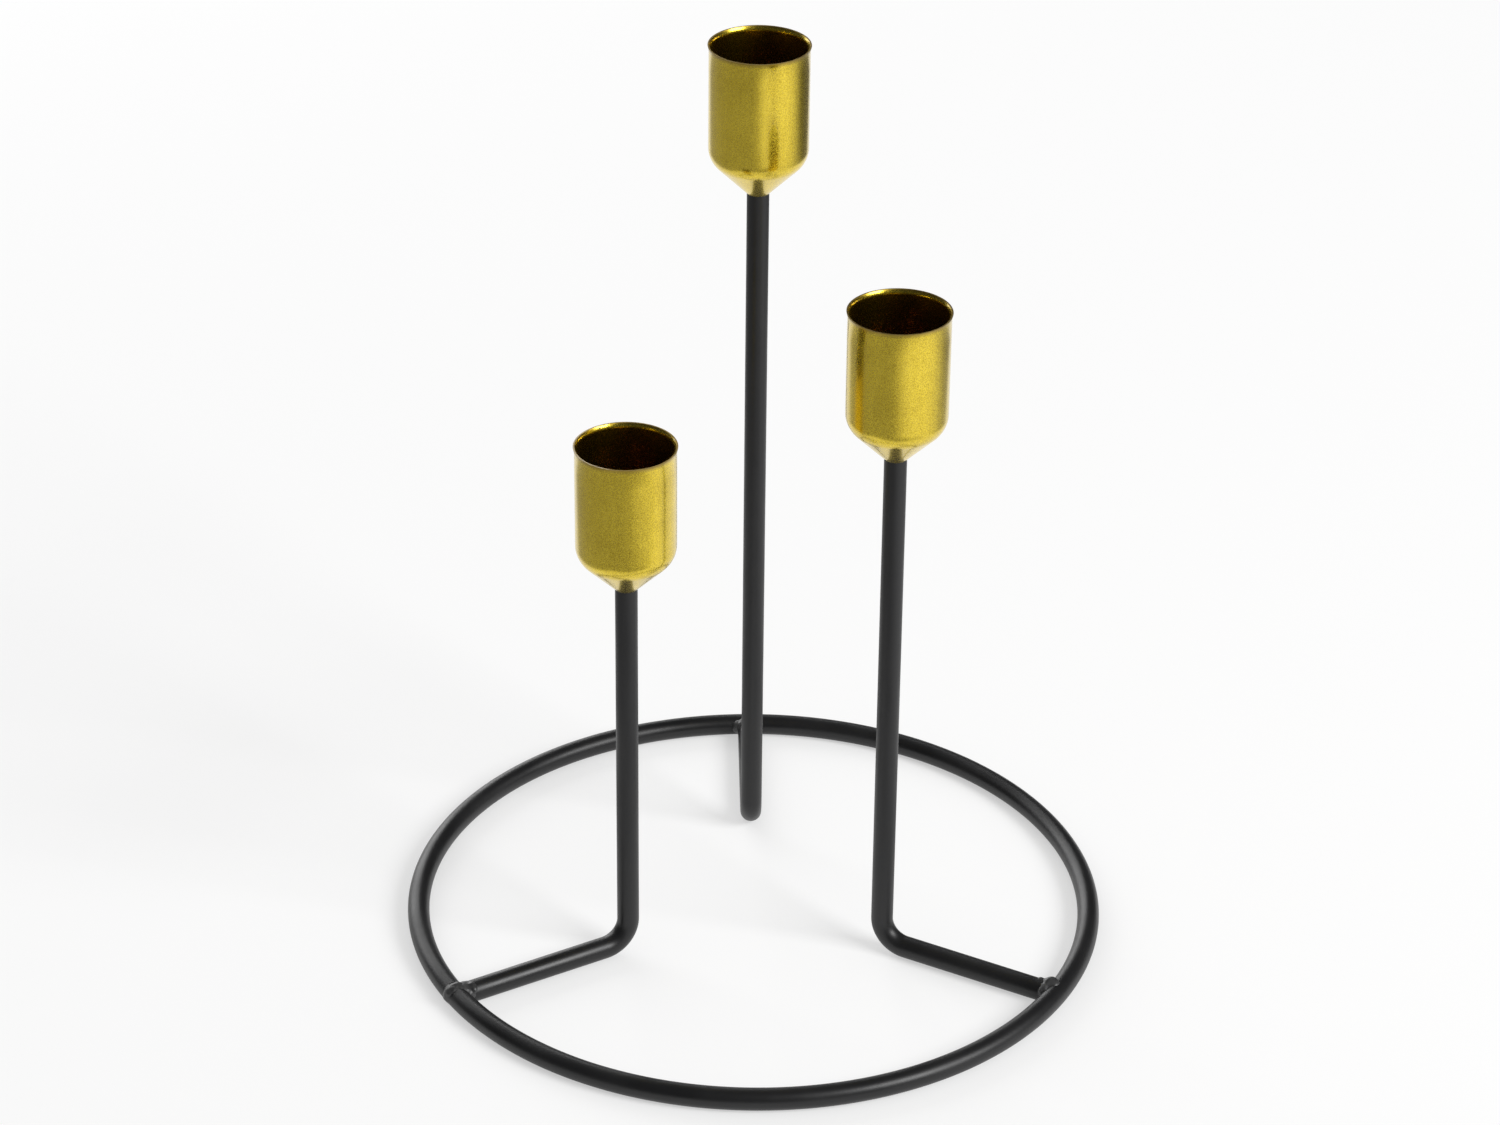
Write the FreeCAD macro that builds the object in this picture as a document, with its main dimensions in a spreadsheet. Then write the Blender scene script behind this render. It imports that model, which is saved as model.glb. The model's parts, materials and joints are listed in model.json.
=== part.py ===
import FreeCAD
import Part
import Sketcher
import math
import os

# Table candle holder: a wire ring on the table, three L-shaped wire stems welded to it at equal
# steps, and a sheet metal candle cup screwed to the top of each stem.
# The origin is the ring's centre on the table, +Z is up and -Y is the front.

# Driving dimensions, in millimetres and degrees
SIZES = (
    ("rod_diameter", 5.3, "wire of the ring and the stems, with its coat"),
    ("ring_outer_diameter", 170.0, "ring over its outside"),
    ("ring_end_gap", 0.5, "gap between the ring's butted ends"),
    ("ring_end_round", 0.6, "rounding of the ring's end edges"),
    ("seam_distance", 2.4, "from the short stem's line to the ring's seam, along the ring"),
    ("tall_stem_angle", 90.0, "direction of the tall stem, from +X"),
    ("stem_step_angle", 120.0, "turn from one stem to the next"),
    ("stem_offset", 35.5, "from the ring's centre to a stem's axis"),
    ("bend_radius", 6.5, "bend of a stem, at the middle of the wire"),
    ("stem_end_chamfer", 0.2, "bevel round the top of a stem"),
    ("short_rim_height", 138.0, "rim of the short stem's cup above the table"),
    ("middle_rim_height", 172.0, "rim of the middle stem's cup above the table"),
    ("tall_rim_height", 214.0, "rim of the tall stem's cup above the table"),
    ("cup_height", 37.0, "cup from its foot to its rim"),
    ("cup_bore_diameter", 22.3, "inside of the cup's straight wall"),
    ("cup_wall", 0.6, "sheet of the cup"),
    ("cup_cone_angle", 90.0, "full angle of the cup's conical foot"),
    ("cup_shoulder_radius", 6.0, "outside rounding between cone and wall"),
    ("lip_flare", 0.25, "how far the lip leans out"),
    ("lip_depth", 1.2, "height of the lip"),
    ("lip_round", 0.2, "rounding of the rim's edges"),
    ("weld_root_gap", 0.3, "from the end of a stem's arm to the ring"),
    ("weld_shift", 0.9, "from the end of a stem's arm to the bead's middle"),
    ("weld_overhang", 0.7, "how far the bead stands out beside the arm"),
    ("weld_round", 1.8, "rounding of the bead's edges"),
    ("weld_crown", 0.35, "how far the bead stands above the wire"),
    ("weld_floor_gap", 0.45, "from the table to the bead's underside"),
    ("screw_thread_diameter", 2.5, "thread of a cup screw"),
    ("screw_length", 8.0, "cup screw over all"),
    ("screw_head_diameter", 4.7, "head of a cup screw"),
    ("screw_head_angle", 90.0, "full angle of the countersunk head"),
    ("screw_head_edge", 0.2, "straight edge of the head"),
    ("screw_tip_chamfer", 0.3, "bevel of the screw's tip"),
    ("thread_clearance", 0.05, "from the thread to the wall of its hole"),
    ("hole_runout", 1.5, "tapped hole beyond the screw's tip"),
    ("recess_length", 2.6, "cross recess, end to end"),
    ("recess_width", 0.7, "width of a slot of the cross recess"),
    ("recess_depth", 0.9, "depth of the cross recess"),
)

# Stems in their order round the ring, from the tall one, with the cell that holds the rim's height
STEMS = (
    ("tall", "sizes.tall_rim_height"),
    ("short", "sizes.short_rim_height"),
    ("middle", "sizes.middle_rim_height"),
)
SEAM_STEM = "short"  # the ring's ends meet beside this stem

# Sizes that follow from the driving dimensions
ROD_RADIUS = "sizes.rod_diameter / 2"
RING_RADIUS = "(sizes.ring_outer_diameter - sizes.rod_diameter) / 2"
ARM_END = f"{RING_RADIUS} - {ROD_RADIUS} - sizes.weld_root_gap - sizes.stem_offset"
CUP_BORE_RADIUS = "sizes.cup_bore_diameter / 2"
CUP_WALL_RADIUS = f"({CUP_BORE_RADIUS} + sizes.cup_wall)"
SCREW_RADIUS = "sizes.screw_thread_diameter / 2"
SCREW_HOLE_RADIUS = f"({SCREW_RADIUS} + sizes.thread_clearance)"
SCREW_HEAD_RADIUS = "sizes.screw_head_diameter / 2"
HEAD_SLOPE = "tan(sizes.screw_head_angle / 2 * 1 deg)"
HEAD_SEAT_HEIGHT = f"({SCREW_HEAD_RADIUS} - {SCREW_HOLE_RADIUS}) / {HEAD_SLOPE}"
HEAD_TOP = f"({HEAD_SEAT_HEIGHT} + sizes.screw_head_edge)"
LARGEST_ROUND_SHARE = 0.4  # a rounding takes at most this share of the wall or wire it is on

# Points of a sketch element, and the sketch's own axes, which start at its origin
START, END, CENTRE = range(1, 4)
HORIZONTAL_AXIS, VERTICAL_AXIS = range(-1, -3, -1)
ORIGIN = (HORIZONTAL_AXIS, START)
NEAR = 1e-6

UP = FreeCAD.Vector(0, 0, 1)

doc = FreeCAD.newDocument("candle_holder")
sheet = doc.addObject("Spreadsheet::Sheet", "sizes")


def fill_sheet():
    for row, (alias, value, note) in enumerate(SIZES, start=1):
        sheet.set(f"A{row}", alias)
        sheet.set(f"B{row}", str(value))
        sheet.setAlias(f"B{row}", alias)
        sheet.set(f"C{row}", note)
    doc.recompute()


def value_of(expression):
    return float(sheet.evalExpression(expression.replace("sizes.", "")))


def stem_angle(step):
    return f"(sizes.tall_stem_angle + {step} * sizes.stem_step_angle)"


def new_body(label):
    body = doc.addObject("PartDesign::Body", label)
    body.Label = label
    return body


def new_sketch(body, name, role, offset=None):
    plane = next(item for item in body.Origin.OriginFeatures if item.Role == role)
    sketch = body.newObject("Sketcher::SketchObject", name)
    sketch.AttachmentSupport = [(plane, "")]
    sketch.MapMode = "FlatFace"
    if offset:
        sketch.setExpression("AttachmentOffset.Base.z", offset)
    return sketch


def constrain(sketch, kind, *elements):
    return sketch.addConstraint(Sketcher.Constraint(kind, *elements))


def dimension(sketch, name, kind, expression, *elements):
    index = constrain(sketch, kind, *elements, value_of(expression))
    sketch.renameConstraint(index, name)
    sketch.setExpression(f"Constraints.{name}", expression)


def angle_dimension(sketch, name, expression, element):
    index = constrain(sketch, "Angle", element, math.radians(value_of(expression)))
    sketch.renameConstraint(index, name)
    sketch.setExpression(f"Constraints.{name}", expression)


def add_line(sketch, start, end):
    return sketch.addGeometry(Part.LineSegment(FreeCAD.Vector(*start), FreeCAD.Vector(*end)))


def add_arc(sketch, centre, radius, first_angle, last_angle):
    circle = Part.Circle(FreeCAD.Vector(*centre), UP, radius)
    return sketch.addGeometry(Part.ArcOfCircle(circle, first_angle, last_angle))


def add_circle(sketch, diameter, height=None):
    # A circle on the sketch's vertical axis, at its origin where no height is given
    level = value_of(height) if height else 0.0
    circle = Part.Circle(FreeCAD.Vector(0, level), UP, value_of(diameter) / 2)
    index = sketch.addGeometry(circle)
    dimension(sketch, "diameter", "Diameter", diameter, index)
    if height:
        constrain(sketch, "PointOnObject", index, CENTRE, VERTICAL_AXIS)
        dimension(sketch, "height", "DistanceY", height, *ORIGIN, index, CENTRE)
    else:
        constrain(sketch, "Coincident", index, CENTRE, *ORIGIN)
    return index


def add_outline(sketch, points):
    # A closed outline of straight lines, each joined to the next
    lines = []
    for start, end in zip(points, points[1:] + points[:1]):
        lines.append(add_line(sketch, start, end))
    for line, following in zip(lines, lines[1:] + lines[:1]):
        constrain(sketch, "Coincident", line, END, following, START)
    return lines


def revolve(body, sketch, name):
    feature = body.newObject("PartDesign::Revolution", name)
    feature.Profile = sketch
    feature.ReferenceAxis = (sketch, ["V_Axis"])
    return feature


def drill(body, name, level, diameter):
    # A hole straight down along the body's own Z axis, from the given level
    base = body.Tip
    sketch = new_sketch(body, f"{name}_place", "XY_Plane", level)
    add_circle(sketch, diameter)
    doc.recompute()
    hole = body.newObject("PartDesign::Hole", name)
    hole.Profile = sketch
    hole.setExpression("Diameter", diameter)
    return hole, base


def expect_cut(feature, base):
    doc.recompute()
    if feature.Shape.Volume >= base.Shape.Volume:
        raise RuntimeError(f"{feature.Name} cuts nothing")


def circles_at(feature, height):
    # Names of the round edges that lie level at the given height
    names = []
    for number, edge in enumerate(feature.Shape.Edges, start=1):
        box = edge.BoundBox
        if box.ZLength < NEAR and abs(box.ZMin - height) < NEAR:
            names.append(f"Edge{number}")
    return names


def place(obj, step, height=None, distance="sizes.stem_offset"):
    # In line with the stem that stands the given number of steps from the tall one
    angle = stem_angle(step)
    obj.Placement = FreeCAD.Placement(FreeCAD.Vector(), FreeCAD.Rotation(UP, value_of(angle)))
    obj.setExpression("Placement.Rotation.Angle", angle)
    obj.setExpression("Placement.Base.x", f"({distance}) * cos({angle} * 1 deg)")
    obj.setExpression("Placement.Base.y", f"({distance}) * sin({angle} * 1 deg)")
    if height:
        obj.setExpression("Placement.Base.z", height)


def make_ring(label, seam_step):
    # One bent wire, revolved from one end of the seam to the other
    body = new_body(label)
    sketch = new_sketch(body, f"{label}_section", "XZ_Plane")
    centre = FreeCAD.Vector(value_of(RING_RADIUS), value_of(ROD_RADIUS))
    circle = sketch.addGeometry(Part.Circle(centre, UP, value_of(ROD_RADIUS)))
    dimension(sketch, "wire", "Diameter", "sizes.rod_diameter", circle)
    dimension(sketch, "radius", "DistanceX", RING_RADIUS, *ORIGIN, circle, CENTRE)
    dimension(sketch, "height", "DistanceY", ROD_RADIUS, *ORIGIN, circle, CENTRE)
    bend = revolve(body, sketch, f"{label}_bend")
    gap_angle = f"sizes.ring_end_gap / ({RING_RADIUS}) * 180 / pi"
    bend.setExpression("Angle", f"360 - {gap_angle}")
    doc.recompute()

    ends = []
    for number, edge in enumerate(bend.Shape.Edges, start=1):
        if abs(edge.Length - math.pi * value_of("sizes.rod_diameter")) < NEAR:
            ends.append(f"Edge{number}")
    rounding = body.newObject("PartDesign::Fillet", f"{label}_end_rounds")
    rounding.Base = (bend, ends)
    largest_round = f"{LARGEST_ROUND_SHARE} * sizes.rod_diameter"
    rounding.setExpression("Radius", f"min(sizes.ring_end_round; {largest_round})")

    seam = f"{stem_angle(seam_step)} - sizes.seam_distance / ({RING_RADIUS}) * 180 / pi"
    turn = f"{seam} + {gap_angle} / 2"
    body.Placement = FreeCAD.Placement(FreeCAD.Vector(), FreeCAD.Rotation(UP, value_of(turn)))
    body.setExpression("Placement.Rotation.Angle", turn)
    doc.recompute()
    return body


def make_stem(label, step, rim_height):
    # The arm runs out along +X from the upright, which stands on the body's own Z axis
    body = new_body(label)
    top = f"({rim_height} - sizes.cup_height)"
    rod_radius = value_of(ROD_RADIUS)
    bend_radius = value_of("sizes.bend_radius")
    bend_end = rod_radius + bend_radius

    path = new_sketch(body, f"{label}_path", "XZ_Plane")
    arm = add_line(path, (value_of(ARM_END), rod_radius), (bend_radius, rod_radius))
    bend = add_arc(path, (bend_radius, bend_end), bend_radius, math.pi, 1.5 * math.pi)
    upright = add_line(path, (0, bend_end), (0, value_of(top)))
    constrain(path, "Tangent", arm, END, bend, END)
    constrain(path, "Tangent", bend, START, upright, START)
    constrain(path, "Horizontal", arm)
    constrain(path, "Vertical", upright)
    constrain(path, "PointOnObject", upright, END, VERTICAL_AXIS)
    dimension(path, "bend", "Radius", "sizes.bend_radius", bend)
    dimension(path, "arm_height", "DistanceY", ROD_RADIUS, *ORIGIN, arm, START)
    dimension(path, "arm_end", "DistanceX", ARM_END, *ORIGIN, arm, START)
    dimension(path, "top", "DistanceY", top, *ORIGIN, upright, END)

    section = new_sketch(body, f"{label}_section", "YZ_Plane", ARM_END)
    add_circle(section, "sizes.rod_diameter", ROD_RADIUS)
    wire = body.newObject("PartDesign::AdditivePipe", f"{label}_wire")
    wire.Profile = section
    wire.Spine = (path, ["Edge1", "Edge2", "Edge3"])
    doc.recompute()

    bevel = body.newObject("PartDesign::Chamfer", f"{label}_top_bevel")
    bevel.Base = (wire, circles_at(wire, value_of(top)))
    bevel.setExpression("Size", "sizes.stem_end_chamfer")
    doc.recompute()

    tapping, base = drill(body, f"{label}_tapping", top, f"2 * {SCREW_HOLE_RADIUS}")
    tapping.DepthType = "Dimension"
    tapping.setExpression("Depth", f"sizes.screw_length - {HEAD_TOP} + sizes.hole_runout")
    place(body, step)
    expect_cut(tapping, base)
    return body


def make_ring_space(name):
    # The ring without its seam, for what is cut to lie against it
    space = doc.addObject("Part::Torus", name)
    space.setExpression("Radius1", RING_RADIUS)
    space.setExpression("Radius2", ROD_RADIUS)
    space.setExpression("Placement.Base.z", ROD_RADIUS)
    doc.recompute()
    return space


def make_weld(label, step, ring_space, stem):
    # A round bead about the joint, cut back to the wires that it ties together
    bead = new_body(f"{label}_bead")
    outline = new_sketch(bead, f"{label}_outline", "XY_Plane")
    add_circle(outline, "sizes.rod_diameter + 2 * sizes.weld_overhang")
    height = "(sizes.rod_diameter + sizes.weld_crown - sizes.weld_floor_gap)"
    lump = bead.newObject("PartDesign::Pad", f"{label}_lump")
    lump.Profile = outline
    lump.setExpression("Length", height)
    doc.recompute()
    rounding = bead.newObject("PartDesign::Fillet", f"{label}_rounding")
    rounding.Base = (lump, circles_at(lump, 0) + circles_at(lump, value_of(height)))
    rounding.setExpression("Radius", f"min(sizes.weld_round; {LARGEST_ROUND_SHARE} * {height})")
    place(bead, step, "sizes.weld_floor_gap", f"{ARM_END} + sizes.weld_shift + sizes.stem_offset")

    beside_ring = doc.addObject("Part::Cut", f"{label}_beside_ring")
    beside_ring.Base = bead
    beside_ring.Tool = ring_space
    weld = doc.addObject("Part::Cut", label)
    weld.Label = label
    weld.Base = beside_ring
    weld.Tool = stem
    doc.recompute()
    return weld


def draw_cup(sketch):
    # Half of the cup's section: foot, cone, shoulder, wall and lip, and the same again inside
    neck = value_of(ROD_RADIUS)
    wall = value_of("sizes.cup_wall")
    inside = value_of(CUP_BORE_RADIUS)
    outside = value_of(CUP_WALL_RADIUS)
    shoulder = value_of("sizes.cup_shoulder_radius")
    rim = value_of("sizes.cup_height")
    lip = rim - value_of("sizes.lip_depth")
    flare = value_of("sizes.lip_flare")
    slope = math.radians(value_of("sizes.cup_cone_angle") / 2)

    centre_x = outside - shoulder
    cone_x = centre_x + shoulder * math.cos(slope)
    cone_y = (cone_x - neck) / math.tan(slope)
    centre = (centre_x, cone_y + shoulder * math.sin(slope))
    inner_x = cone_x - wall * math.cos(slope)
    inner_y = cone_y + wall * math.sin(slope)
    floor_x = inner_x - (inner_y - wall) * math.tan(slope)

    foot = add_line(sketch, (0, 0), (neck, 0))
    cone = add_line(sketch, (neck, 0), (cone_x, cone_y))
    turn = add_arc(sketch, centre, shoulder, -slope, 0)
    side = add_line(sketch, (outside, centre[1]), (outside, lip))
    flared = add_line(sketch, (outside, lip), (outside + flare, rim))
    edge = add_line(sketch, (outside + flare, rim), (inside + flare, rim))
    inner_flared = add_line(sketch, (inside + flare, rim), (inside, lip))
    inner_side = add_line(sketch, (inside, lip), (inside, centre[1]))
    inner_turn = add_arc(sketch, centre, shoulder - wall, -slope, 0)
    inner_cone = add_line(sketch, (inner_x, inner_y), (floor_x, wall))
    floor = add_line(sketch, (floor_x, wall), (0, wall))
    axis = add_line(sketch, (0, wall), (0, 0))

    straight = (side, flared, edge, inner_flared, inner_side)
    for line, following in zip(straight, straight[1:]):
        constrain(sketch, "Coincident", line, END, following, START)
    lower = (inner_cone, floor, axis, foot, cone)
    for line, following in zip(lower, lower[1:]):
        constrain(sketch, "Coincident", line, END, following, START)
    constrain(sketch, "Tangent", cone, END, turn, START)
    constrain(sketch, "Tangent", turn, END, side, START)
    constrain(sketch, "Tangent", inner_side, END, inner_turn, END)
    constrain(sketch, "Tangent", inner_turn, START, inner_cone, START)
    constrain(sketch, "Coincident", turn, CENTRE, inner_turn, CENTRE)
    constrain(sketch, "Coincident", axis, END, *ORIGIN)
    constrain(sketch, "Parallel", cone, inner_cone)
    for line in (foot, edge, floor):
        constrain(sketch, "Horizontal", line)
    for line in (axis, side, inner_side):
        constrain(sketch, "Vertical", line)
    constrain(sketch, "Horizontal", side, END, inner_side, START)

    dimension(sketch, "neck", "DistanceX", ROD_RADIUS, *ORIGIN, foot, END)
    dimension(sketch, "floor", "DistanceY", "sizes.cup_wall", *ORIGIN, floor, END)
    dimension(sketch, "bore", "DistanceX", CUP_BORE_RADIUS, *ORIGIN, inner_side, START)
    dimension(sketch, "side", "DistanceX", CUP_WALL_RADIUS, *ORIGIN, side, END)
    dimension(sketch, "shoulder", "Radius", "sizes.cup_shoulder_radius", turn)
    dimension(sketch, "rim", "DistanceY", "sizes.cup_height", *ORIGIN, edge, END)
    dimension(sketch, "lip", "DistanceY", "sizes.lip_depth", side, END, flared, END)
    dimension(sketch, "flare", "DistanceX", "sizes.lip_flare", side, END, flared, END)
    dimension(sketch, "inner_flare", "DistanceX", "sizes.lip_flare", inner_side, START, edge, END)
    angle_dimension(sketch, "cone_rise", "90 - sizes.cup_cone_angle / 2", cone)


def make_cup(label, step, rim_height):
    body = new_body(label)
    sketch = new_sketch(body, f"{label}_section", "XZ_Plane")
    draw_cup(sketch)
    shell = revolve(body, sketch, f"{label}_shell")
    doc.recompute()

    rim = body.newObject("PartDesign::Fillet", f"{label}_rim")
    rim.Base = (shell, circles_at(shell, value_of("sizes.cup_height")))
    rim.setExpression("Radius", f"min(sizes.lip_round; {LARGEST_ROUND_SHARE} * sizes.cup_wall)")
    doc.recompute()

    seat, base = drill(body, f"{label}_seat", HEAD_SEAT_HEIGHT, f"2 * {SCREW_HOLE_RADIUS}")
    seat.DepthType = "ThroughAll"
    seat.HoleCutType = "Countersink"
    seat.HoleCutCustomValues = True
    seat.setExpression("HoleCutDiameter", "sizes.screw_head_diameter")
    seat.setExpression("HoleCutCountersinkAngle", "sizes.screw_head_angle")
    place(body, step, f"{rim_height} - sizes.cup_height")
    expect_cut(seat, base)
    return body


def make_screw(label, step, rim_height):
    # The head's cone seats in the cup's floor, level with the top of the stem
    body = new_body(label)
    thread = value_of(SCREW_RADIUS)
    head = value_of(SCREW_HEAD_RADIUS)
    seat = value_of(HEAD_SEAT_HEIGHT)
    top = value_of(HEAD_TOP)
    neck = seat - (head - thread) / value_of(HEAD_SLOPE)
    tip = top - value_of("sizes.screw_length")
    bevel = value_of("sizes.screw_tip_chamfer")

    sketch = new_sketch(body, f"{label}_section", "XZ_Plane")
    points = [(0, tip), (thread - bevel, tip), (thread, tip + bevel), (thread, neck),
              (head, seat), (head, top), (0, top)]
    end, tip_bevel, shank, cone, edge, crown, axis = add_outline(sketch, points)
    for line in (end, crown):
        constrain(sketch, "Horizontal", line)
    for line in (shank, edge, axis):
        constrain(sketch, "Vertical", line)
    constrain(sketch, "PointOnObject", axis, END, VERTICAL_AXIS)
    dimension(sketch, "thread", "DistanceX", SCREW_RADIUS, *ORIGIN, shank, START)
    dimension(sketch, "head", "DistanceX", SCREW_HEAD_RADIUS, *ORIGIN, edge, START)
    dimension(sketch, "seat", "DistanceY", HEAD_SEAT_HEIGHT, *ORIGIN, edge, START)
    dimension(sketch, "head_edge", "DistanceY", "sizes.screw_head_edge", edge, START, edge, END)
    dimension(sketch, "length", "DistanceY", "sizes.screw_length", end, START, crown, END)
    bevel_ends = (tip_bevel, START, tip_bevel, END)
    dimension(sketch, "bevel_out", "DistanceX", "sizes.screw_tip_chamfer", *bevel_ends)
    dimension(sketch, "bevel_up", "DistanceY", "sizes.screw_tip_chamfer", *bevel_ends)
    angle_dimension(sketch, "cone_rise", "90 - sizes.screw_head_angle / 2", cone)
    blank = revolve(body, sketch, f"{label}_blank")
    doc.recompute()

    slot_sketch = new_sketch(body, f"{label}_slot_outline", "XY_Plane", HEAD_TOP)
    reach = value_of("sizes.recess_length") / 2
    half = value_of("sizes.recess_width") / 2
    corners = [(-reach, -half), (reach, -half), (reach, half), (-reach, half)]
    front, right, back, left = add_outline(slot_sketch, corners)
    for line in (front, back):
        constrain(slot_sketch, "Horizontal", line)
    for line in (left, right):
        constrain(slot_sketch, "Vertical", line)
    constrain(slot_sketch, "Symmetric", front, START, back, START, *ORIGIN)
    dimension(slot_sketch, "length", "DistanceX", "sizes.recess_length", front, START, front, END)
    dimension(slot_sketch, "width", "DistanceY", "sizes.recess_width", right, START, right, END)
    slot = body.newObject("PartDesign::Pocket", f"{label}_slot")
    slot.Profile = slot_sketch
    slot.setExpression("Length", "sizes.recess_depth")
    expect_cut(slot, blank)

    cross = body.newObject("PartDesign::PolarPattern", f"{label}_cross")
    cross.Originals = [slot]
    cross.Axis = (slot_sketch, ["N_Axis"])
    cross.Angle = 90
    cross.Occurrences = 2
    body.Tip = cross
    place(body, step, f"{rim_height} - sizes.cup_height")
    expect_cut(cross, slot)
    return body


def make_group(label, members):
    group = doc.addObject("Part::Compound", label)
    group.Label = label
    group.Links = members
    doc.recompute()
    return group


def check(parts):
    for obj in doc.Objects:
        if "Invalid" in obj.State or "Error" in obj.State:
            raise RuntimeError(f"{obj.Name} is {obj.State}")
        if obj.isDerivedFrom("Sketcher::SketchObject") and not obj.FullyConstrained:
            raise RuntimeError(f"{obj.Name} is not fully constrained")
    for part in parts:
        if part.Shape.isNull() or not part.Shape.isValid() or not part.Shape.Solids:
            raise RuntimeError(f"{part.Label} has no valid solid")


def main():
    fill_sheet()
    seam_step = [name for name, rim_height in STEMS].index(SEAM_STEM)
    ring_space = make_ring_space("ring_space")
    parts = [make_ring("base_ring", seam_step)]
    screws = []
    for step, (name, rim_height) in enumerate(STEMS):
        stem = make_stem(f"{name}_stem", step, rim_height)
        weld = make_weld(f"{name}_weld", step, ring_space, stem)
        cup = make_cup(f"{name}_cup", step, rim_height)
        screws.append(make_screw(f"{name}_cup_screw", step, rim_height))
        parts += [stem, weld, cup]
    parts.append(make_group("cup_screws", screws))
    doc.recompute()
    check(parts)

    os.makedirs("parts", exist_ok=True)
    for part in parts:
        part.Shape.exportStep(f"parts/{part.Label}.step")
        print(f"{part.Label}: {len(part.Shape.Solids)} solid(s), {part.Shape.Volume:.1f} mm3")


main()
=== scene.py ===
import json
import math

import bpy
from mathutils import Matrix, Vector


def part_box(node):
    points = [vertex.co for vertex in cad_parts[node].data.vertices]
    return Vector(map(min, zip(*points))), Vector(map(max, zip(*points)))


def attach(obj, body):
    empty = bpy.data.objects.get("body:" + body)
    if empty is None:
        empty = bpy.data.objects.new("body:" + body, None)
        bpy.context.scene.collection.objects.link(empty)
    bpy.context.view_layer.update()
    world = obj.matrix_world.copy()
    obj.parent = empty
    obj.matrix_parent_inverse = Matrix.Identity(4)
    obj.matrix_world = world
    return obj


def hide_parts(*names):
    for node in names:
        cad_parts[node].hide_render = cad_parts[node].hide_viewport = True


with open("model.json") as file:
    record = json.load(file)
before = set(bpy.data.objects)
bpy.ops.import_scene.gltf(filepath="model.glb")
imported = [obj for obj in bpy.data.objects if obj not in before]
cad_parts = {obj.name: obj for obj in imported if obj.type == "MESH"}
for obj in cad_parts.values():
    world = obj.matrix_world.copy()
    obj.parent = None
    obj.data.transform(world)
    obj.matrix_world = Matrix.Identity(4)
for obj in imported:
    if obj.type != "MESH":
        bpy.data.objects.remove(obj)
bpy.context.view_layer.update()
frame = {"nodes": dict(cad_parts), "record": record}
print("frame loaded:", len(frame["nodes"]), "nodes")

mm = 0.001
mergeDistance = 0.001 * mm
up = Vector((0, 0, 1))
stemNames = ("short", "middle", "tall")

# the wire and the ring, read from the frame
ringLow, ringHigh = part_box("base_ring")
wireRadius = (ringHigh.z - ringLow.z) / 2
ringRadius = (ringHigh.y - ringLow.y) / 2 - wireRadius
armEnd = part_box("tall_stem")[1].y  # the tall stem's arm runs straight back
sockets = {}
for mount in frame["record"]["mounts"]:
    sockets[mount["name"]] = mount


def stemAxis(name):
    x, y, _ = sockets[name + "_candle_socket"]["pos_m"]
    return Vector((x, y, 0))


def outward(name):
    return stemAxis(name).normalized()


def turnOf(direction):
    return math.atan2(direction.y, direction.x)


# edit mode helpers

def startPiece():
    if bpy.context.mode != "OBJECT":
        bpy.ops.object.mode_set(mode="OBJECT")
    bpy.ops.object.select_all(action="DESELECT")


def openEdit(selectMode="VERT"):
    bpy.ops.object.mode_set(mode="EDIT")
    bpy.ops.mesh.select_mode(type=selectMode)
    bpy.ops.mesh.select_all(action="SELECT")


def extrudeBy(move):
    bpy.ops.mesh.extrude_region_move(TRANSFORM_OT_translate={"value": tuple(move)})


def extrudeRing(centre, scale, lift):
    # pull a new ring out of the selected one, then widen or narrow it
    extrudeBy((0, 0, lift))
    bpy.ops.transform.resize(value=(scale, scale, 1), center_override=tuple(centre))


def closeEdit():
    bpy.ops.mesh.select_all(action="SELECT")
    bpy.ops.mesh.remove_doubles(threshold=mergeDistance)
    bpy.ops.mesh.normals_make_consistent(inside=False)
    bpy.ops.object.mode_set(mode="OBJECT")


def selectWhere(test):
    # faces are picked by their place, the rest is let go
    bpy.ops.object.mode_set(mode="OBJECT")
    mesh = bpy.context.object.data
    for polygon in mesh.polygons:
        polygon.select = test(polygon)
    bpy.ops.object.mode_set(mode="EDIT")
    bpy.ops.mesh.select_mode(type="FACE")


def bevelSelected(width, segments):
    # rounds the edges round the selected faces
    bpy.ops.mesh.region_to_loop()
    bpy.ops.mesh.bevel(offset=width, segments=segments, affect="EDGES")


def addModifier(piece, kind, **values):
    modifier = piece.modifiers.new(kind.lower(), kind)
    for key, value in values.items():
        setattr(modifier, key, value)
    bpy.ops.object.modifier_apply(modifier=modifier.name)


def finishPiece(piece, name, material, slot, smoothAngle, *nodes):
    piece.name = name
    piece.data.name = name
    bpy.ops.object.transform_apply(location=True, rotation=True, scale=True)
    bpy.ops.object.shade_smooth_by_angle(angle=math.radians(smoothAngle))
    piece.data.materials.clear()
    piece.data.materials.append(material)
    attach(piece, "root")
    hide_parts(*nodes)
    print("made", name, "with", len(piece.data.polygons), "faces")


# node helpers

def newMaterial(name):
    material = bpy.data.materials.new(name)
    material.use_nodes = True
    tree = material.node_tree
    shader = tree.nodes["Principled BSDF"]
    return material, tree, shader


def addNode(tree, kind, **inputs):
    node = tree.nodes.new(kind)
    for key, value in inputs.items():
        node.inputs[key.replace("_", " ")].default_value = value
    return node


def objectPoints(tree, stretch=(1, 1, 1)):
    place = tree.nodes.new("ShaderNodeTexCoord")
    mapping = tree.nodes.new("ShaderNodeMapping")
    mapping.inputs["Scale"].default_value = stretch
    tree.links.new(place.outputs["Object"], mapping.inputs["Vector"])
    return mapping.outputs["Vector"]


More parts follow.
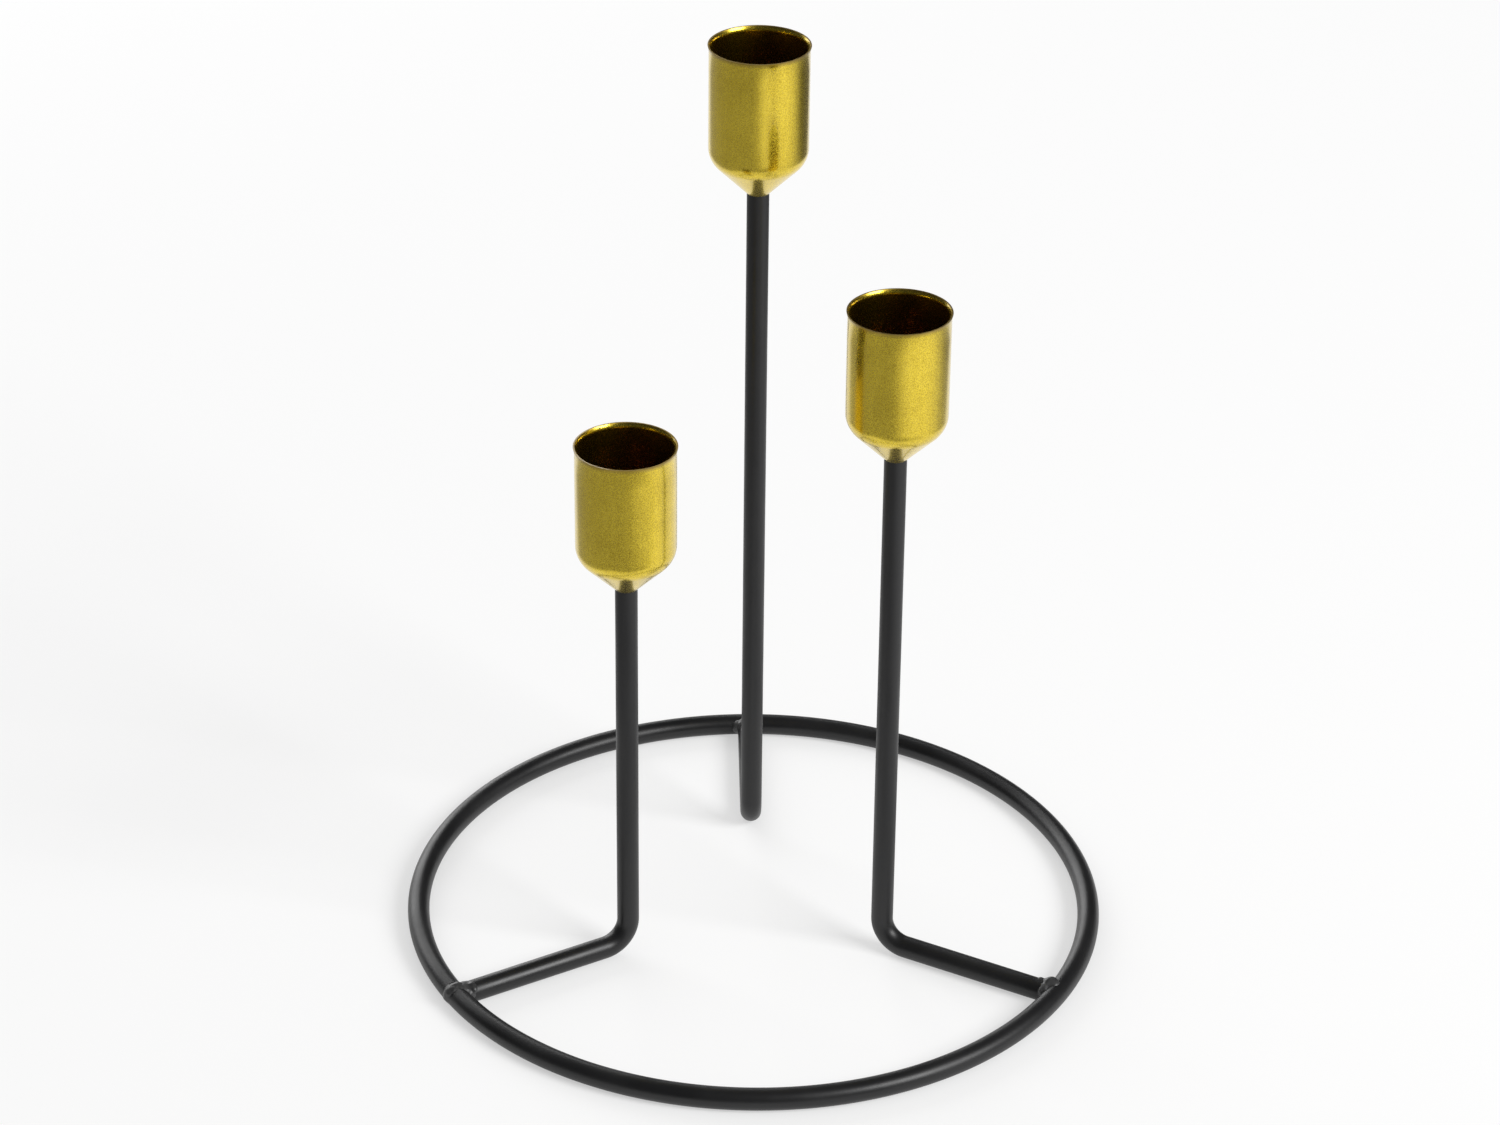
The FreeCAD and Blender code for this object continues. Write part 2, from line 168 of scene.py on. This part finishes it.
def noise(tree, points, scale, detail=2.0, roughness=0.5):
    texture = addNode(tree, "ShaderNodeTexNoise", Scale=scale, Detail=detail, Roughness=roughness)
    tree.links.new(points, texture.inputs["Vector"])
    return texture.outputs["Fac"]


def remap(tree, value, low, high, fromLow=0.3, fromHigh=0.7):
    node = tree.nodes.new("ShaderNodeMapRange")
    node.inputs["From Min"].default_value = fromLow
    node.inputs["From Max"].default_value = fromHigh
    node.inputs["To Min"].default_value = low
    node.inputs["To Max"].default_value = high
    tree.links.new(value, node.inputs["Value"])
    return node.outputs["Result"]


def calculate(tree, operation, first, second):
    node = tree.nodes.new("ShaderNodeMath")
    node.operation = operation
    for socket, value in zip(node.inputs, (first, second)):
        if isinstance(value, float):
            socket.default_value = value
        else:
            tree.links.new(value, socket)
    return node.outputs["Value"]


def blendColours(tree, factor, first, second):
    ramp = tree.nodes.new("ShaderNodeValToRGB")
    ramp.color_ramp.elements[0].color = (*first, 1)
    ramp.color_ramp.elements[1].color = (*second, 1)
    ramp.color_ramp.elements[0].position = 0.3
    ramp.color_ramp.elements[1].position = 0.7
    tree.links.new(factor, ramp.inputs["Fac"])
    return ramp.outputs["Color"]


def pointValue(tree, name):
    attribute = tree.nodes.new("ShaderNodeAttribute")
    attribute.attribute_name = name
    return attribute.outputs["Fac"]


def changeColour(tree, colour, other, share):
    # the other colour takes over where the share is 1
    mix = tree.nodes.new("ShaderNodeMix")
    mix.data_type = "RGBA"
    mix.inputs["B"].default_value = (*other, 1)
    tree.links.new(share, mix.inputs["Factor"])
    tree.links.new(colour, mix.inputs["A"])
    return mix.outputs["Result"]


def addBump(tree, height, size, normal=None):
    strength, depth = size
    bump = addNode(tree, "ShaderNodeBump", Strength=strength, Distance=depth)
    tree.links.new(height, bump.inputs["Height"])
    if normal is not None:
        tree.links.new(normal, bump.inputs["Normal"])
    return bump.outputs["Normal"]


# finishes

coatLook = {
    "dark": (0.0070, 0.0070, 0.0076),
    "pale": (0.0120, 0.0120, 0.0127),
    "matt": (0.34, 0.48),  # roughness, from the glossier patches to the duller ones
    "shine": 0.50,
    "peel": 900,           # bumps of the sprayed coat, per metre
    "peelBump": (0.35, 0.05 * mm),   # strength and depth
    "grain": 4000,         # powder grain, per metre
    "grainBump": (0.30, 0.03 * mm),
    "patches": 55,
}
weldLook = {
    # dark and pale are lighter than the ring's coat: painted highlight for the light the weld lumps catch;
    # the blend between them is the coat's own mottling
    "dark": (0.0150, 0.0150, 0.0156),
    "pale": (0.0480, 0.0480, 0.0485),
    "matt": (0.36, 0.50),
    "shine": 0.70,
    "peel": 700,
    "peelBump": (0.35, 0.06 * mm),
    "grain": 4000,
    "grainBump": (0.30, 0.03 * mm),
    "patches": 400,
}


def makeBlackCoat(name, look):
    material, tree, shader = newMaterial(name)
    points = objectPoints(tree)
    patches = noise(tree, points, look["patches"], detail=4.0)
    peel = noise(tree, points, look["peel"], detail=2.0)
    grain = noise(tree, points, look["grain"], detail=1.0)
    tree.links.new(blendColours(tree, patches, look["dark"], look["pale"]), shader.inputs["Base Color"])
    tree.links.new(remap(tree, patches, *look["matt"]), shader.inputs["Roughness"])
    shader.inputs["Specular IOR Level"].default_value = look["shine"]
    normal = addBump(tree, peel, look["peelBump"])
    normal = addBump(tree, grain, look["grainBump"], normal)
    tree.links.new(normal, shader.inputs["Normal"])
    return material


goldLook = {
    "deep": (0.54, 0.385, 0.020),
    "bright": (0.97, 0.740, 0.064),
    "paintedRimTone": (0.34, 0.23, 0.04),  # painted rim line: a duller, darker tone on the rim's top edge, standing in for how light shows along that edge
    "rimLineMatt": 0.45,
    # painted shade: a darker tone for the inner wall below the lip, where the cup shades itself
    "inside": (0.38, 0.240, 0.002),
    "polish": (0.19, 0.30),
    "flakes": 4200,   # metallic flakes, per metre
    "flakeBump": (0.40, 0.02 * mm),
    "clouds": 140,    # uneven lacquer
    "cloudTint": (-0.09, 0.01),
    "cloudBump": (0.12, 0.10 * mm),
    "streaks": 1500,  # fine lines up the wall, left by drawing the sheet
    "streakStretch": (1, 1, 0.05),
    "streakTint": (0.02, 0.07),
    "streakBump": (0.06, 0.02 * mm),
    "clearCoat": 0.5,
    "clearCoatMatt": 0.03,
}


def makeGoldLacquer(name, look):
    material, tree, shader = newMaterial(name)
    points = objectPoints(tree)
    upright = objectPoints(tree, look["streakStretch"])
    flakes = noise(tree, points, look["flakes"], detail=1.0)
    clouds = noise(tree, points, look["clouds"], detail=3.0)
    streaks = noise(tree, upright, look["streaks"], detail=1.0)
    speckle = calculate(tree, "ADD", flakes, remap(tree, clouds, *look["cloudTint"]))
    speckle = calculate(tree, "ADD", speckle, remap(tree, streaks, *look["streakTint"]))
    colour = blendColours(tree, speckle, look["deep"], look["bright"])
    # the rim's top edge takes the painted rim line
    paintedRimLine = pointValue(tree, "paintedRimLine")
    colour = changeColour(tree, colour, look["paintedRimTone"], paintedRimLine)
    # the inner wall below the lip takes the painted shade
    colour = changeColour(tree, colour, look["inside"], pointValue(tree, "inside"))
    tree.links.new(colour, shader.inputs["Base Color"])
    rimMatt = calculate(tree, "MULTIPLY", paintedRimLine, look["rimLineMatt"])
    matt = calculate(tree, "MAXIMUM", remap(tree, flakes, *look["polish"]), rimMatt)
    tree.links.new(matt, shader.inputs["Roughness"])
    normal = addBump(tree, flakes, look["flakeBump"])
    normal = addBump(tree, streaks, look["streakBump"], normal)
    normal = addBump(tree, clouds, look["cloudBump"], normal)
    tree.links.new(normal, shader.inputs["Normal"])
    shader.inputs["Metallic"].default_value = 1.0
    shader.inputs["Coat Weight"].default_value = look["clearCoat"]
    shader.inputs["Coat Roughness"].default_value = look["clearCoatMatt"]
    return material


zincLook = {
    "dull": (0.42, 0.42, 0.43),
    "clean": (0.62, 0.62, 0.63),
    "polish": (0.28, 0.42),
    "spots": 1400,
    "spotBump": (0.2, 0.02 * mm),
}


def makeZincPlate(name, look):
    material, tree, shader = newMaterial(name)
    points = objectPoints(tree)
    spots = noise(tree, points, look["spots"], detail=3.0)
    tree.links.new(blendColours(tree, spots, look["dull"], look["clean"]), shader.inputs["Base Color"])
    tree.links.new(remap(tree, spots, *look["polish"]), shader.inputs["Roughness"])
    tree.links.new(addBump(tree, spots, look["spotBump"]), shader.inputs["Normal"])
    shader.inputs["Metallic"].default_value = 1.0
    return material


blackCoat = makeBlackCoat("black powder coat", coatLook)
weldCoat = makeBlackCoat("black coat over weld", weldLook)
goldLacquer = makeGoldLacquer("gold lacquer", goldLook)
zincPlate = makeZincPlate("zinc plate", zincLook)
print("finishes made")


# base ring: one bent wire whose ends meet beside the short stem
ringShape = {
    "seamGap": 0.5 * mm,
    "seamDistance": 2.4 * mm,  # from the short stem's line, along the ring
    "endRound": 0.6 * mm,
    "sides": 40,
    "steps": 288,
}


def buildRing(shape):
    startPiece()
    gap = shape["seamGap"] / ringRadius
    seam = turnOf(outward("short")) - shape["seamDistance"] / ringRadius
    first = seam + gap / 2
    place = Vector((math.cos(first), math.sin(first), 0)) * ringRadius + up * wireRadius
    bpy.ops.mesh.primitive_circle_add(
        vertices=shape["sides"], radius=wireRadius, fill_type="NGON",
        location=place, rotation=(math.pi / 2, 0, first))
    piece = bpy.context.object
    bpy.ops.object.transform_apply(location=True, rotation=True, scale=True)
    openEdit("FACE")
    bpy.ops.mesh.duplicate()
    bpy.ops.mesh.spin(
        steps=shape["steps"], angle=2 * math.pi - gap, center=(0, 0, 0), axis=(0, 0, 1))
    closeEdit()
    openEdit()
    selectWhere(lambda polygon: len(polygon.vertices) > 4)
    bevelSelected(shape["endRound"], 3)
    closeEdit()
    finishPiece(piece, "baseRing", blackCoat, "black_coat", 40, "base_ring")


# stems: an arm along the ring's radius, a bend and an upright
stemShape = {
    "bendRadius": 6.5 * mm,
    "topBevel": 0.2 * mm,
    "sides": 40,
    "bendSteps": 20,
    "armSteps": 4,
    "uprightSteps": 8,
}


def buildStem(name, shape):
    startPiece()
    node = name + "_stem"
    away = outward(name)
    across = up.cross(away)
    axis = stemAxis(name)
    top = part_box(node)[1].z
    bend = shape["bendRadius"]
    bpy.ops.mesh.primitive_circle_add(
        vertices=shape["sides"], radius=wireRadius, fill_type="NGON",
        location=away * armEnd + up * wireRadius, rotation=(0, math.pi / 2, turnOf(away)))
    piece = bpy.context.object
    bpy.ops.object.transform_apply(location=True, rotation=True, scale=True)
    openEdit("FACE")
    bpy.ops.mesh.duplicate()
    armLength = armEnd - axis.length - bend
    for _ in range(shape["armSteps"]):
        extrudeBy(-away * armLength / shape["armSteps"])
    bendCentre = axis + away * bend + up * (wireRadius + bend)
    bpy.ops.mesh.spin(
        steps=shape["bendSteps"], angle=math.pi / 2, center=tuple(bendCentre), axis=tuple(-across))
    uprightLength = top - wireRadius - bend
    for _ in range(shape["uprightSteps"]):
        extrudeBy(up * uprightLength / shape["uprightSteps"])
    closeEdit()
    openEdit()
    selectWhere(lambda polygon: len(polygon.vertices) > 4 and polygon.normal.z > 0.9)
    bevelSelected(shape["topBevel"], 2)
    closeEdit()
    finishPiece(piece, name + "Stem", blackCoat, "black_coat", 40, node)


# cups: drawn from a disc of sheet, out over the cone and shoulder, up the wall, and back inside
cupShape = {
    "wall": 0.6 * mm,
    "coneAngle": 45,  # of the cone's side, from the cup's axis
    "shoulder": 6.0 * mm,
    "lipDepth": 1.2 * mm,
    "lipFlare": 0.25 * mm,
    "honeWidth": 0.25 * mm,  # of the slant inside the rim
    "honeDepth": 0.5 * mm,
    "rimRound": 0.1 * mm,
    # height of the painted rim line, down from the rim's top
    "rimLineDepth": 0.08 * mm,
    "screwHole": 1.3 * mm,
    "sides": 160,
    "shoulderSteps": 12,
    "wallSteps": 6,
}


def cupRings(shape, bore, height):
    # radius and height of each ring of the cup, from the screw hole round to the screw hole
    wall = shape["wall"]
    outside = bore + wall
    cone = math.radians(shape["coneAngle"])
    centreRadius = outside - shape["shoulder"]
    tangentRadius = centreRadius + shape["shoulder"] * math.cos(cone)
    tangentHeight = (tangentRadius - wireRadius) / math.tan(cone)
    centreHeight = tangentHeight + shape["shoulder"] * math.sin(cone)
    lip = height - shape["lipDepth"]
    flare = shape["lipFlare"]
    honeFoot = flare * (1 - shape["honeDepth"] / shape["lipDepth"])
    turns = [cone * (1 - step / shape["shoulderSteps"]) for step in range(shape["shoulderSteps"] + 1)]

    def shoulderRing(radius, turn):
        return centreRadius + radius * math.cos(turn), centreHeight - radius * math.sin(turn)

    rings = [(wireRadius, 0.0)]
    rings += [shoulderRing(shape["shoulder"], turn) for turn in turns]
    for step in range(1, shape["wallSteps"] + 1):
        rings.append((outside, centreHeight + (lip - centreHeight) * step / shape["wallSteps"]))
    rings.append((outside + flare, height))
    rings.append((bore + flare + shape["honeWidth"], height))
    rings.append((bore + honeFoot, height - shape["honeDepth"]))
    rings.append((bore, lip))
    for step in range(shape["wallSteps"] - 1, 0, -1):
        rings.append((bore, centreHeight + (lip - centreHeight) * step / shape["wallSteps"]))
    rings += [shoulderRing(shape["shoulder"] - wall, turn) for turn in reversed(turns)]
    floorRadius = wireRadius - wall * math.tan((math.pi / 2 - cone) / 2)
    rings.append((floorRadius, wall))
    rings.append((shape["screwHole"] + wall, wall))
    rings.append((shape["screwHole"], 0.0))
    return rings


def buildCup(name, shape):
    startPiece()
    node = name + "_cup"
    low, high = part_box(node)
    axis = stemAxis(name)
    bore = sockets[name + "_candle_socket"]["dims"]["r_mm"] * mm
    foot = axis + up * low.z
    bpy.ops.mesh.primitive_circle_add(
        vertices=shape["sides"], radius=shape["screwHole"], fill_type="NOTHING", location=foot)
    piece = bpy.context.object
    bpy.ops.object.transform_apply(location=True, rotation=True, scale=True)
    openEdit()
    radius, level = shape["screwHole"], 0.0
    for nextRadius, nextLevel in cupRings(shape, bore, high.z - low.z):
        extrudeRing(foot, nextRadius / radius, nextLevel - level)
        radius, level = nextRadius, nextLevel
    closeEdit()
    openEdit()
    selectWhere(lambda polygon: polygon.normal.z > 0.9 and polygon.center.z > high.z - 0.01 * mm)
    bevelSelected(shape["rimRound"], 3)
    closeEdit()
    # painted rim line: marks the top of the rim, where its flat tone is laid
    paintedRimLine = piece.data.attributes.new("paintedRimLine", "FLOAT", "POINT")
    # painted shade: marks the inner wall below the lip
    inside = piece.data.attributes.new("inside", "FLOAT", "POINT")
    lip = high.z - shape["lipDepth"] + 0.01 * mm
    for vertex in piece.data.vertices:
        inwards = vertex.normal.dot(foot - vertex.co) > 0
        paintedRimLine.data[vertex.index].value = float(vertex.co.z > high.z - shape["rimLineDepth"])
        inside.data[vertex.index].value = float(inwards and vertex.co.z < lip)
    finishPiece(piece, name + "Cup", goldLacquer, "gold_lacquer", 30, node)


# weld beads: lumps that run together over the gap between arm and ring
weldShape = {
    "grain": 0.12 * mm,   # fineness of the joined mesh
    "smoothing": 12,
    "ripple": 2.0 * mm,
    "rippleDepth": 0.55 * mm,
}
# per joint, in mm: out from the arm's end, along the ring, up, then length, width and height
weldLumps = {
    "short": (
        (0.6, 0.0, 2.9, 5.6, 5.9, 5.3),
        (2.95, -0.6, 3.0, 6.2, 5.6, 5.7),
        (-0.7, 0.7, 4.2, 2.4, 3.8, 2.7),
    ),
    "middle": (
        (0.5, 0.0, 2.85, 5.4, 5.7, 5.3),
        (1.1, 0.9, 4.5, 4.8, 4.4, 3.0),
        (-1.2, 0.7, 4.3, 2.6, 2.8, 2.4),
    ),
    "tall": (
        (0.6, 0.0, 2.9, 5.8, 7.2, 5.3),
        (0.8, -2.4, 3.4, 3.4, 3.4, 3.6),
        (0.8, 2.5, 3.1, 3.4, 3.4, 3.6),
    ),
}


def buildWeld(name, shape, lumps):
    startPiece()
    away = outward(name)
    across = up.cross(away)
    pieces = []
    for out, along, height, *sizes in lumps:
        place = away * (armEnd + out * mm) + across * along * mm + up * height * mm
        bpy.ops.mesh.primitive_ico_sphere_add(
            subdivisions=4, radius=0.5 * mm, location=place, rotation=(0, 0, turnOf(away)), scale=sizes)
        pieces.append(bpy.context.object)
    for lump in pieces:
        lump.select_set(True)
    bpy.ops.object.join()
    piece = bpy.context.object
    bpy.ops.object.transform_apply(location=True, rotation=True, scale=True)
    addModifier(piece, "REMESH", mode="VOXEL", voxel_size=shape["grain"])
    addModifier(piece, "SMOOTH", factor=0.5, iterations=shape["smoothing"])
    ripple = bpy.data.textures.new(name + " weld ripple", "CLOUDS")
    ripple.noise_scale = shape["ripple"]
    ripple.noise_depth = 1
    addModifier(
        piece, "DISPLACE", texture=ripple, texture_coords="LOCAL",
        strength=shape["rippleDepth"], mid_level=0.5)
    finishPiece(piece, name + "Weld", weldCoat, "black_coat", 60, name + "_weld")


buildRing(ringShape)
for stemName in stemNames:
    buildStem(stemName, stemShape)
    buildCup(stemName, cupShape)
    buildWeld(stemName, weldShape, weldLumps[stemName])
screws = frame["nodes"]["cup_screws"]
screws.data.materials.clear()
screws.data.materials.append(zincPlate)
print("pieces made")


# stage: a white table, of which the finishes mirror only the lit part
stageLook = {
    "white": 0.95,
    "unlit": 0.385,         # tone in a reflection, outside the lit part
    "dim": 0.12,            # the same on the far right, towards the back
    "dimTurn": 31,
    "dimRange": (300 * mm, 446 * mm),
    # each edge of the lit part runs from its dark end to its bright one
    "left": (-160 * mm, -130 * mm),
    "leftSlant": 0.28,      # the left edge runs outwards to the back
    "right": (260 * mm, 230 * mm),
    "front": (-145 * mm, -115 * mm),
    "cornerTurn": -36,      # the front right corner is lit too, beyond a slanting line
    "cornerLine": (150 * mm, 280 * mm),
    "cornerLeft": (-130 * mm, 110 * mm),
    "cornerBack": (190 * mm, -130 * mm),
    "glow": 0.52,           # share of the white that the shadows leave alone
    "size": 8.0,
    "drop": 0.02 * mm,      # keeps the table just clear of the ring
}


def rise(tree, value, ends):
    # 0 at the first end, growing to 1 at the second
    return remap(tree, value, 0.0, 1.0, *ends)


def multiply(tree, first, *others):
    for other in others:
        first = calculate(tree, "MULTIPLY", first, other)
    return first


def turnedAxis(tree, x, y, degrees):
    # the place along a line that is turned from the x axis
    turn = math.radians(degrees)
    return calculate(tree, "ADD", multiply(tree, x, math.cos(turn)), multiply(tree, y, math.sin(turn)))


def reflectedTone(tree, look):
    # white where the table is lit, darker beyond its soft edges
    axes = tree.nodes.new("ShaderNodeSeparateXYZ")
    tree.links.new(objectPoints(tree), axes.inputs["Vector"])
    x, y = axes.outputs["X"], axes.outputs["Y"]
    leftward = calculate(tree, "ADD", x, multiply(tree, y, look["leftSlant"]))
    middle = multiply(
        tree, rise(tree, x, look["right"]), rise(tree, leftward, look["left"]),
        rise(tree, y, look["front"]))
    cornerward = turnedAxis(tree, x, y, look["cornerTurn"])
    corner = multiply(
        tree, rise(tree, cornerward, look["cornerLine"]), rise(tree, x, look["cornerLeft"]),
        rise(tree, y, look["cornerBack"]))
    lit = calculate(tree, "MAXIMUM", middle, corner)
    dimward = turnedAxis(tree, x, y, look["dimTurn"])
    unlit = remap(tree, dimward, look["unlit"], look["dim"], *look["dimRange"])
    extra = multiply(tree, calculate(tree, "SUBTRACT", look["white"], unlit), lit)
    return calculate(tree, "ADD", unlit, extra)


def seenRays(tree):
    # 1 for what the camera sees, straight or in a reflection
    rays = tree.nodes.new("ShaderNodeLightPath")
    seen = calculate(tree, "MAXIMUM", rays.outputs["Is Camera Ray"], rays.outputs["Is Glossy Ray"])
    return calculate(tree, "MAXIMUM", seen, rays.outputs["Is Transmission Ray"])


def buildStage(look):
    startPiece()
    bpy.ops.mesh.primitive_plane_add(size=look["size"], location=(0, 0, -look["drop"]))
    floor = bpy.context.object
    floor.name = "floor"
    material, tree, shader = newMaterial("white table")
    rays = tree.nodes.new("ShaderNodeLightPath")
    direct = multiply(tree, calculate(tree, "SUBTRACT", 1.0, rays.outputs["Is Glossy Ray"]), look["white"])
    tone = calculate(tree, "MAXIMUM", reflectedTone(tree, look), direct)
    shader.inputs["Roughness"].default_value = 1.0
    shader.inputs["Specular IOR Level"].default_value = 0.0
    tree.links.new(tone, shader.inputs["Base Color"])
    glow = tree.nodes.new("ShaderNodeEmission")
    tree.links.new(tone, glow.inputs["Color"])
    tree.links.new(seenRays(tree), glow.inputs["Strength"])
    mixed = addNode(tree, "ShaderNodeMixShader", Fac=look["glow"])
    tree.links.new(shader.outputs["BSDF"], mixed.inputs[1])
    tree.links.new(glow.outputs["Emission"], mixed.inputs[2])
    tree.links.new(mixed.outputs["Shader"], tree.nodes["Material Output"].inputs["Surface"])
    floor.data.materials.append(material)


lampLook = {
    "sky": 0.415,
    "reflectedSky": 0.06,
    "lamps": (
        # name, place, aim, size, power
        ("key", (1.75, -1.10, 1.50), (0, 0, 0.05), (1.25, 1.10), 53.0),
        ("window", (-0.88, 1.55, 0.70), (0, 0, 0.05), (1.7, 1.2), 20.5),
    ),
}


def buildLamps(look):
    world = bpy.data.worlds.new("studio")
    bpy.context.scene.world = world
    world.use_nodes = True
    tree = world.node_tree
    background = tree.nodes["Background"]
    background.inputs["Color"].default_value = (1, 1, 1, 1)
    rays = tree.nodes.new("ShaderNodeLightPath")
    strength = remap(
        tree, rays.outputs["Is Glossy Ray"], look["sky"], look["reflectedSky"], 0.0, 1.0)
    strength = calculate(tree, "MAXIMUM", strength, rays.outputs["Is Camera Ray"])
    tree.links.new(strength, background.inputs["Strength"])
    for name, place, target, size, power in look["lamps"]:
        lamp = bpy.data.lights.new(name, "AREA")
        lamp.shape = "RECTANGLE"
        lamp.size, lamp.size_y = size
        lamp.energy = power
        holder = bpy.data.objects.new(name, lamp)
        bpy.context.scene.collection.objects.link(holder)
        aim = (Vector(target) - Vector(place)).to_track_quat("-Z", "Y")
        holder.matrix_world = Matrix.Translation(place) @ aim.to_matrix().to_4x4()


# camera, worked out from the ring, the stems and the cups in the photograph
cameraLook = {
    "eye": (-21.8 * mm, -869.2 * mm, 586.0 * mm),
    "yaw": 1.32,
    "dip": 29.32,
    "roll": 0.62,
    "lens": 101.6,
    "sensor": 36.0,
}


def buildCamera(look):
    data = bpy.data.cameras.new("camera")
    data.lens = look["lens"]
    data.sensor_width = look["sensor"]
    data.sensor_fit = "HORIZONTAL"
    data.clip_start = 10 * mm
    camera = bpy.data.objects.new("camera", data)
    bpy.context.scene.collection.objects.link(camera)
    turn = Matrix.Rotation(math.radians(-look["yaw"]), 4, "Z")
    tilt = Matrix.Rotation(math.radians(90 - look["dip"]), 4, "X")
    roll = Matrix.Rotation(math.radians(look["roll"]), 4, "Z")
    camera.matrix_world = Matrix.Translation(look["eye"]) @ turn @ tilt @ roll
    bpy.context.scene.camera = camera


buildStage(stageLook)
buildLamps(lampLook)
buildCamera(cameraLook)
bpy.context.scene.view_settings.view_transform = "Standard"
print("stage, lamps and camera made")
